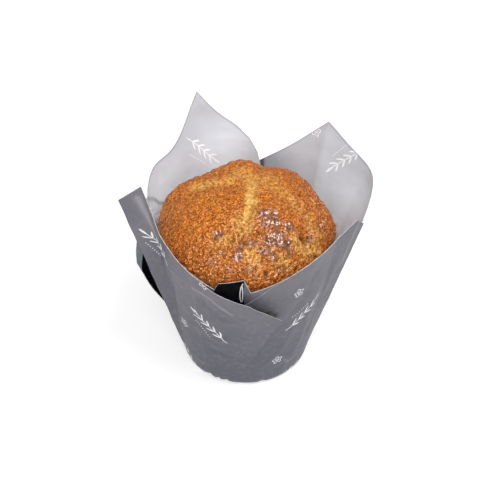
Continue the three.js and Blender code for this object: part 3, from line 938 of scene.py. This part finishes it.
class Nodes:
    """A short way to write node trees: each call adds a node and returns its output."""

    def __init__(self, name):
        self.material = bpy.data.materials.new(name)
        self.material.use_nodes = True
        self.tree = self.material.node_tree
        self.shader = self.tree.nodes["Principled BSDF"]

    def node(self, kind):
        return self.tree.nodes.new("ShaderNode" + kind)

    def put(self, socket, value):
        if isinstance(value, bpy.types.NodeSocket):
            self.tree.links.new(value, socket)
        elif value is not None:
            socket.default_value = value

    def fill(self, node, **values):
        """Sets or links inputs by name, with _ for a space."""
        for key, value in values.items():
            self.put(node.inputs[key.replace("_", " ")], value)

    def math(self, operation, a, b=None, clamp=False):
        node = self.node("Math")
        node.operation = operation
        node.use_clamp = clamp
        self.put(node.inputs[0], a)
        self.put(node.inputs[1], b)
        return node.outputs[0]

    def add(self, a, b):
        return self.math("ADD", a, b)

    def sub(self, a, b):
        return self.math("SUBTRACT", a, b)

    def mul(self, a, b):
        return self.math("MULTIPLY", a, b)

    def attribute(self, name):
        node = self.node("Attribute")
        node.attribute_name = name
        return node.outputs["Fac"]

    def position(self):
        return self.node("TexCoord").outputs["Object"]

    def height(self):
        parts = self.node("SeparateXYZ")
        self.put(parts.inputs[0], self.position())
        return parts.outputs[2]

    def sheet(self):
        """Place on the flat sheet, in millimetres."""
        node = self.node("UVMap")
        node.uv_map = "Sheet"
        parts = self.node("SeparateXYZ")
        self.put(parts.inputs[0], node.outputs[0])
        return self.mul(parts.outputs[0], 1 / MM), self.mul(parts.outputs[1], 1 / MM)

    def noise(self, scale, detail=3.0, roughness=0.5):
        """Noise from 0 to 1, with about `scale` blobs to a metre."""
        node = self.node("TexNoise")
        self.fill(node, Vector=self.position(), Scale=scale, Detail=detail, Roughness=roughness)
        return node.outputs["Fac"]

    def ramp(self, value, low, high, to_low=0.0, to_high=1.0):
        node = self.node("MapRange")
        self.fill(node, Value=value, From_Min=low, From_Max=high, To_Min=to_low, To_Max=to_high)
        return node.outputs["Result"]

    def blend(self, share, a, b):
        """Colour a where share is 0 and b where it is 1."""
        node = self.node("Mix")
        node.data_type = "RGBA"
        self.put(node.inputs[0], share)
        self.put(node.inputs[6], a)
        self.put(node.inputs[7], b)
        return node.outputs[2]

    def bump(self, height, strength, distance, normal=None):
        node = self.node("Bump")
        self.fill(node, Strength=strength, Distance=distance, Height=height, Normal=normal)
        return node.outputs["Normal"]

    def finish(self, **sockets):
        self.fill(self.shader, **sockets)
        return self.material


def crust_material():
    n = Nodes("crust")
    crumb, sticky, front, hole_shade, baked_shade = map(n.attribute, ("crumb", "sticky", "front", "hole_shade", "baked_shade"))
    cloud = n.noise(110, 3, 0.5)
    mottle = n.noise(840, 3, 0.6)
    speck = n.noise(1900, 3, 0.6)
    golden = n.blend(n.ramp(mottle, 0.41, 0.59), srgb(134, 57, 8), srgb(212, 117, 32))
    golden = n.blend(n.mul(n.ramp(cloud, 0.48, 0.68), 0.45), golden, srgb(176, 82, 18))
    golden = n.blend(n.mul(n.ramp(n.noise(62, 2, 0.5), 0.48, 0.64), 0.35), golden, srgb(160, 62, 14))
    # Darker and redder at the front, and on the right side as painted shade.
    golden = n.blend(n.mul(front, 0.42), golden, srgb(166, 72, 10))
    pale = n.blend(n.ramp(mottle, 0.38, 0.62), srgb(194, 144, 60), srgb(246, 206, 124))
    colour = n.blend(crumb, golden, pale)
    gaps = n.mul(front, n.ramp(mottle, 0.48, 0.36, 0.0, 0.75))
    colour = n.blend(gaps, colour, srgb(106, 34, 6))
    # Light specks: paler flecks of crust, partly painted highlights standing in for small glints.
    light = n.mul(n.ramp(speck, 0.54, 0.62), n.ramp(front, 0, 1, 0.78, 0.95))
    colour = n.blend(light, colour, n.blend(front, srgb(244, 176, 96), srgb(246, 180, 106)))
    dark = n.mul(n.ramp(front, 0, 1, 0.58, 1.0), n.ramp(crumb, 0, 1, 1.0, 0.6))
    colour = n.blend(n.mul(n.ramp(speck, 0.46, 0.375), dark), colour, srgb(92, 34, 4))
    syrup = n.blend(n.ramp(mottle, 0.42, 0.56), srgb(50, 16, 14), srgb(138, 54, 16))
    colour = n.blend(n.mul(sticky, 0.88), colour, syrup)
    # Browning at the rim, with painted shade at the right rim and in the creases between the lumps.
    colour = n.blend(n.mul(baked_shade, 0.75), colour, srgb(104, 48, 12))
    # Painted shade in the holes and pores.
    colour = n.blend(n.mul(hole_shade, 0.75), colour, srgb(82, 38, 8))
    wet = n.mul(sticky, n.ramp(mottle, 0.42, 0.52, 0.15, 1.0))
    gloss = n.math("MAXIMUM", wet, n.mul(front, n.ramp(mottle, 0.5, 0.62, 0.0, 0.4)))
    return n.finish(
        Base_Color=colour,
        Roughness=n.ramp(front, 0, 1, 0.5, 0.34),
        Normal=n.bump(speck, 0.75, 0.5 * MM, n.bump(mottle, 0.7, 1 * MM)),
        Specular_IOR_Level=0.9,
        Specular_Tint=(1.0, 0.52, 0.14, 1.0),
        Coat_Weight=gloss,
        Coat_Roughness=0.05,
        Coat_IOR=2.1,
        Coat_Normal=n.bump(n.noise(1000, 2), 0.35, 0.6 * MM),
    )


# The print: sprigs with slender leaves, small blossoms and short rows of dots, in fine lines. Its
# sizes are in millimetres.
MOTIF_CELL = (38.0, 33.0)  # across and up
MOTIF_TURN = math.radians(-15)
LEAF_TURN = math.radians(36)
ROW_STAGGER = 0.43  # how far each row of cells is shifted, in cells
SPRIG_SHIFT = (31.5, 28.5)
BLOSSOM_SHIFT = tuple(shift + cell / 2 for shift, cell in zip(SPRIG_SHIFT, MOTIF_CELL))
LINE_HALF_WIDTH = 0.17
LINE_SOFTNESS = 0.12


def turned_place(n, u, v, angle):
    """The place u, v seen from axes turned by an angle."""
    c, s = math.cos(angle), math.sin(angle)
    return n.add(n.mul(u, c), n.mul(v, s)), n.sub(n.mul(v, c), n.mul(u, s))


def distance(n, u, v):
    return n.math("SQRT", n.add(n.mul(u, u), n.mul(v, v)))


def leaf(n, u, v, long, wide):
    """1 inside a leaf, an ellipse of the given half sizes."""
    outside = n.mul(n.sub(distance(n, n.mul(u, 1 / long), n.mul(v, 1 / wide)), 1.0), wide)
    return n.ramp(outside, LINE_SOFTNESS / 2, -LINE_SOFTNESS / 2)


def within(n, value, low, high):
    return n.mul(n.math("GREATER_THAN", value, low), n.math("LESS_THAN", value, high))


def drawn(n, line_distance):
    """1 on a line, 0 off it."""
    soft = LINE_SOFTNESS / 2
    return n.ramp(line_distance, LINE_HALF_WIDTH + soft, LINE_HALF_WIDTH - soft)


def most(n, *values):
    result = values[0]
    for value in values[1:]:
        result = n.math("MAXIMUM", result, value)
    return result


def motif_cell(n, u, v, shift):
    """The place within its cell of a staggered layout, from the cell's middle."""
    wide, high = MOTIF_CELL
    v = n.add(v, shift[1])
    row = n.math("FLOOR", n.mul(v, 1 / high))
    u = n.add(n.add(u, shift[0]), n.mul(row, wide * ROW_STAGGER))
    across = n.sub(n.math("FLOORED_MODULO", u, wide), wide / 2)
    up = n.sub(n.math("FLOORED_MODULO", v, high), high / 2)
    return across, up


def sprig(n, u, v):
    """A curved stem 19 mm long with pairs of slender leaves and one at its end."""
    v = n.sub(v, n.mul(n.math("SINE", n.mul(u, 0.17)), 0.9))
    off_stem = n.math("ABSOLUTE", v)
    stem = n.mul(drawn(n, off_stem), within(n, u, -9.6, 7.0))
    half_row = 6.6
    pitch = 3.3
    along = n.sub(n.math("FLOORED_MODULO", n.add(u, half_row), pitch), pitch * 0.55)
    lu, lv = turned_place(n, along, n.sub(off_stem, 1.15), LEAF_TURN)
    leaves = n.mul(leaf(n, lu, lv, long=1.7, wide=0.34), within(n, u, -half_row, half_row))
    tip = leaf(n, n.sub(u, 8.2), v, long=1.8, wide=0.42)
    return most(n, stem, leaves, tip)


def blossom(n, u, v):
    """A flower with five petals, 4.4 mm across, round a small ring."""
    reach = distance(n, u, v)
    petals = n.add(n.mul(n.math("COSINE", n.mul(n.math("ARCTAN2", v, u), 5)), 0.42), 1.75)
    outline = drawn(n, n.mul(n.math("ABSOLUTE", n.sub(reach, petals)), 0.85))
    return most(n, outline, drawn(n, n.math("ABSOLUTE", n.sub(reach, 0.6))))


def dot_row(n, u, v):
    """Eight fine dots in a row."""
    pitch = 1.1
    along = n.sub(n.math("FLOORED_MODULO", u, pitch), pitch / 2)
    dots = n.ramp(distance(n, along, v), 0.32, 0.2)
    return n.mul(dots, within(n, u, -4 * pitch, 4 * pitch))


def printed(n):
    """1 where the print is."""
    u, v = turned_place(n, *n.sheet(), MOTIF_TURN)
    across, up = motif_cell(n, u, v, SPRIG_SHIFT)
    dots = n.mul(dot_row(n, n.add(across, 0.6), n.sub(up, 4.4)), 0.75)
    marks = most(n, sprig(n, across, up), blossom(n, *motif_cell(n, u, v, BLOSSOM_SHIFT)), dots)
    return n.mul(marks, n.ramp(n.noise(900, 2), 0.3, 0.45, 0.72, 1.0))


def paper_normal(n, strength):
    fibre = n.noise(1700, 4, 0.6)
    cockle = n.noise(190, 2, 0.5)
    return n.bump(fibre, 0.12 * strength, 0.2 * MM, n.bump(cockle, 0.25 * strength, 1.2 * MM))


def outside_material():
    n = Nodes("paper_outside")
    pale = n.attribute("pale")
    ink = n.blend(n.ramp(n.noise(70, 3, 0.5), 0.35, 0.65), srgb(92, 91, 99), srgb(102, 99, 106))
    # Painted shade: the ink is darker towards the bottom.
    ink = n.blend(n.ramp(n.height(), 18 * MM, 66 * MM, 1.0, 0.0), ink, srgb(77, 77, 87))
    ink = n.blend(n.mul(n.ramp(n.noise(520, 3, 0.6), 0.5, 0.72), 0.25), ink, srgb(126, 124, 131))
    # pale lightens the ink where creases rubbed it off; below zero it darkens it as painted shade.
    colour = n.blend(n.math("MAXIMUM", pale, 0.0, clamp=True), ink, srgb(176, 174, 178))
    colour = n.blend(n.mul(printed(n), 0.92), colour, srgb(226, 224, 227))
    colour = n.blend(n.math("MULTIPLY", pale, -1.0, clamp=True), colour, srgb(14, 14, 16))
    normal = paper_normal(n, 1.0)
    return n.finish(Base_Color=colour, Roughness=0.5, Specular_IOR_Level=0.4, Normal=normal)


def inside_material():
    n = Nodes("paper_inside")
    pale, painted_glow, rim, shade, line = map(n.attribute, ("pale", "painted_glow", "rim", "shade", "line"))
    tone = n.blend(n.ramp(n.noise(48, 2, 0.5), 0.38, 0.62), srgb(201, 205, 212), srgb(209, 214, 221))
    tone = n.blend(n.mul(n.ramp(n.noise(420, 4, 0.6), 0.45, 0.7), 0.3), tone, srgb(194, 198, 208))
    # Painted shade: the inner face is darker towards the petals' tops.
    tone = n.blend(n.ramp(n.height(), 58 * MM, 84 * MM, 0.0, 0.75), tone, srgb(178, 178, 184))
    # painted_glow adds painted light, and pale the creases' pale marks; both make the inner face paler.
    light = n.math("ADD", n.math("MAXIMUM", pale, 0.0), painted_glow, clamp=True)
    tone = n.blend(light, tone, srgb(238, 246, 255))
    colour = n.blend(n.mul(printed(n), 0.9), tone, srgb(250, 252, 255))
    colour = n.blend(n.mul(rim, 0.65), colour, srgb(122, 122, 128))
    colour = n.blend(n.mul(shade, 0.55), colour, srgb(92, 106, 122))
    # Painted shade in the inner lines: a crease of the back left petal and the gap beside the back lap.
    colour = n.blend(line, colour, srgb(46, 50, 56))
    normal = paper_normal(n, 0.8)
    return n.finish(Base_Color=colour, Roughness=0.62, Specular_IOR_Level=0.3, Normal=normal)


def cut_material():
    n = Nodes("paper_cut")
    tone = n.blend(n.ramp(n.noise(700, 2), 0.4, 0.6), srgb(168, 167, 171), srgb(196, 195, 199))
    return n.finish(Base_Color=tone, Roughness=0.8)


def painted_fold_shade_material():
    """Painted shade: near black, for the inside of a tight fold where next to no light comes."""
    n = Nodes("painted_fold_shade")
    tone = n.blend(n.ramp(n.noise(300, 2), 0.35, 0.65), srgb(6, 6, 8), srgb(20, 20, 23))
    return n.finish(Base_Color=tone, Roughness=0.95, Specular_IOR_Level=0.05)


# ---- build the part

crust = muffin(crust_material())
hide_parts("muffin")

paper_materials = [outside_material(), inside_material(), cut_material(), painted_fold_shade_material()]
for paper in case_pieces(paper_materials):
    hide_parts("paper_case")

# ---- camera, lights and floor

CAMERA_ELEVATION = math.radians(39)
CAMERA_DISTANCE = 0.56
CAMERA_TARGET = Vector((0, 0, 0.04))
CAMERA_LENS = 101.6
CAMERA_SHIFT = (0.009, 0.038)
SENSOR_WIDTH = 36
FLOOR_DROP = 0.2 * MM
FLOOR_GLOW = 0.53
SKY_STRENGTH = 0.53
WHITE = (1, 1, 1, 1)


def look_at_part(thing, away, reach):
    """Places a camera or a light in a direction from the part, looking at it."""
    away = Vector(away).normalized()
    thing.location = CAMERA_TARGET + away * reach
    thing.rotation_euler = (-away).to_track_quat("-Z", "Y").to_euler()


def add_camera():
    data = bpy.data.cameras.new("camera")
    data.lens = CAMERA_LENS
    data.sensor_width = SENSOR_WIDTH
    data.shift_x, data.shift_y = CAMERA_SHIFT
    data.clip_start, data.clip_end = 0.01, 10
    camera = add_object("camera", data)
    away = (0, -math.cos(CAMERA_ELEVATION), math.sin(CAMERA_ELEVATION))
    look_at_part(camera, away, CAMERA_DISTANCE)
    bpy.context.scene.camera = camera


def add_light(name, away, *, reach, size, power):
    """A round softbox."""
    data = bpy.data.lights.new(name, "AREA")
    data.shape = "DISK"
    data.size = size
    data.energy = power
    look_at_part(add_object(name, data), away, reach)


def add_floor():
    mesh = bpy.data.meshes.new("floor")
    half = 3.0
    corners = [(-half, -half, 0), (half, -half, 0), (half, half, 0), (-half, half, 0)]
    mesh.from_pydata(corners, [], [(0, 1, 2, 3)])
    n = Nodes("floor")
    tone = n.blend(n.noise(3, 2), (0.58, 0.58, 0.58, 1), (0.6, 0.6, 0.6, 1))
    material = n.finish(
        Base_Color=tone, Roughness=0.9, Emission_Color=WHITE, Emission_Strength=FLOOR_GLOW
    )
    mesh.materials.append(material)
    floor = add_object("floor", mesh)
    floor.location.z = -FLOOR_DROP


def add_world():
    world = bpy.data.worlds.new("studio")
    world.use_nodes = True
    background = world.node_tree.nodes["Background"]
    background.inputs["Color"].default_value = WHITE
    background.inputs["Strength"].default_value = SKY_STRENGTH
    bpy.context.scene.world = world


add_camera()
add_light("key", (0.36, -0.22, 0.9), reach=0.8, size=0.42, power=3.55)
add_light("front", (-0.12, -0.53, 0.84), reach=0.8, size=0.25, power=1.5)
add_light("fill", (-0.12, -0.88, 0.42), reach=0.9, size=0.6, power=2.15)
add_floor()
add_world()
bpy.context.scene.view_settings.view_transform = "Standard"
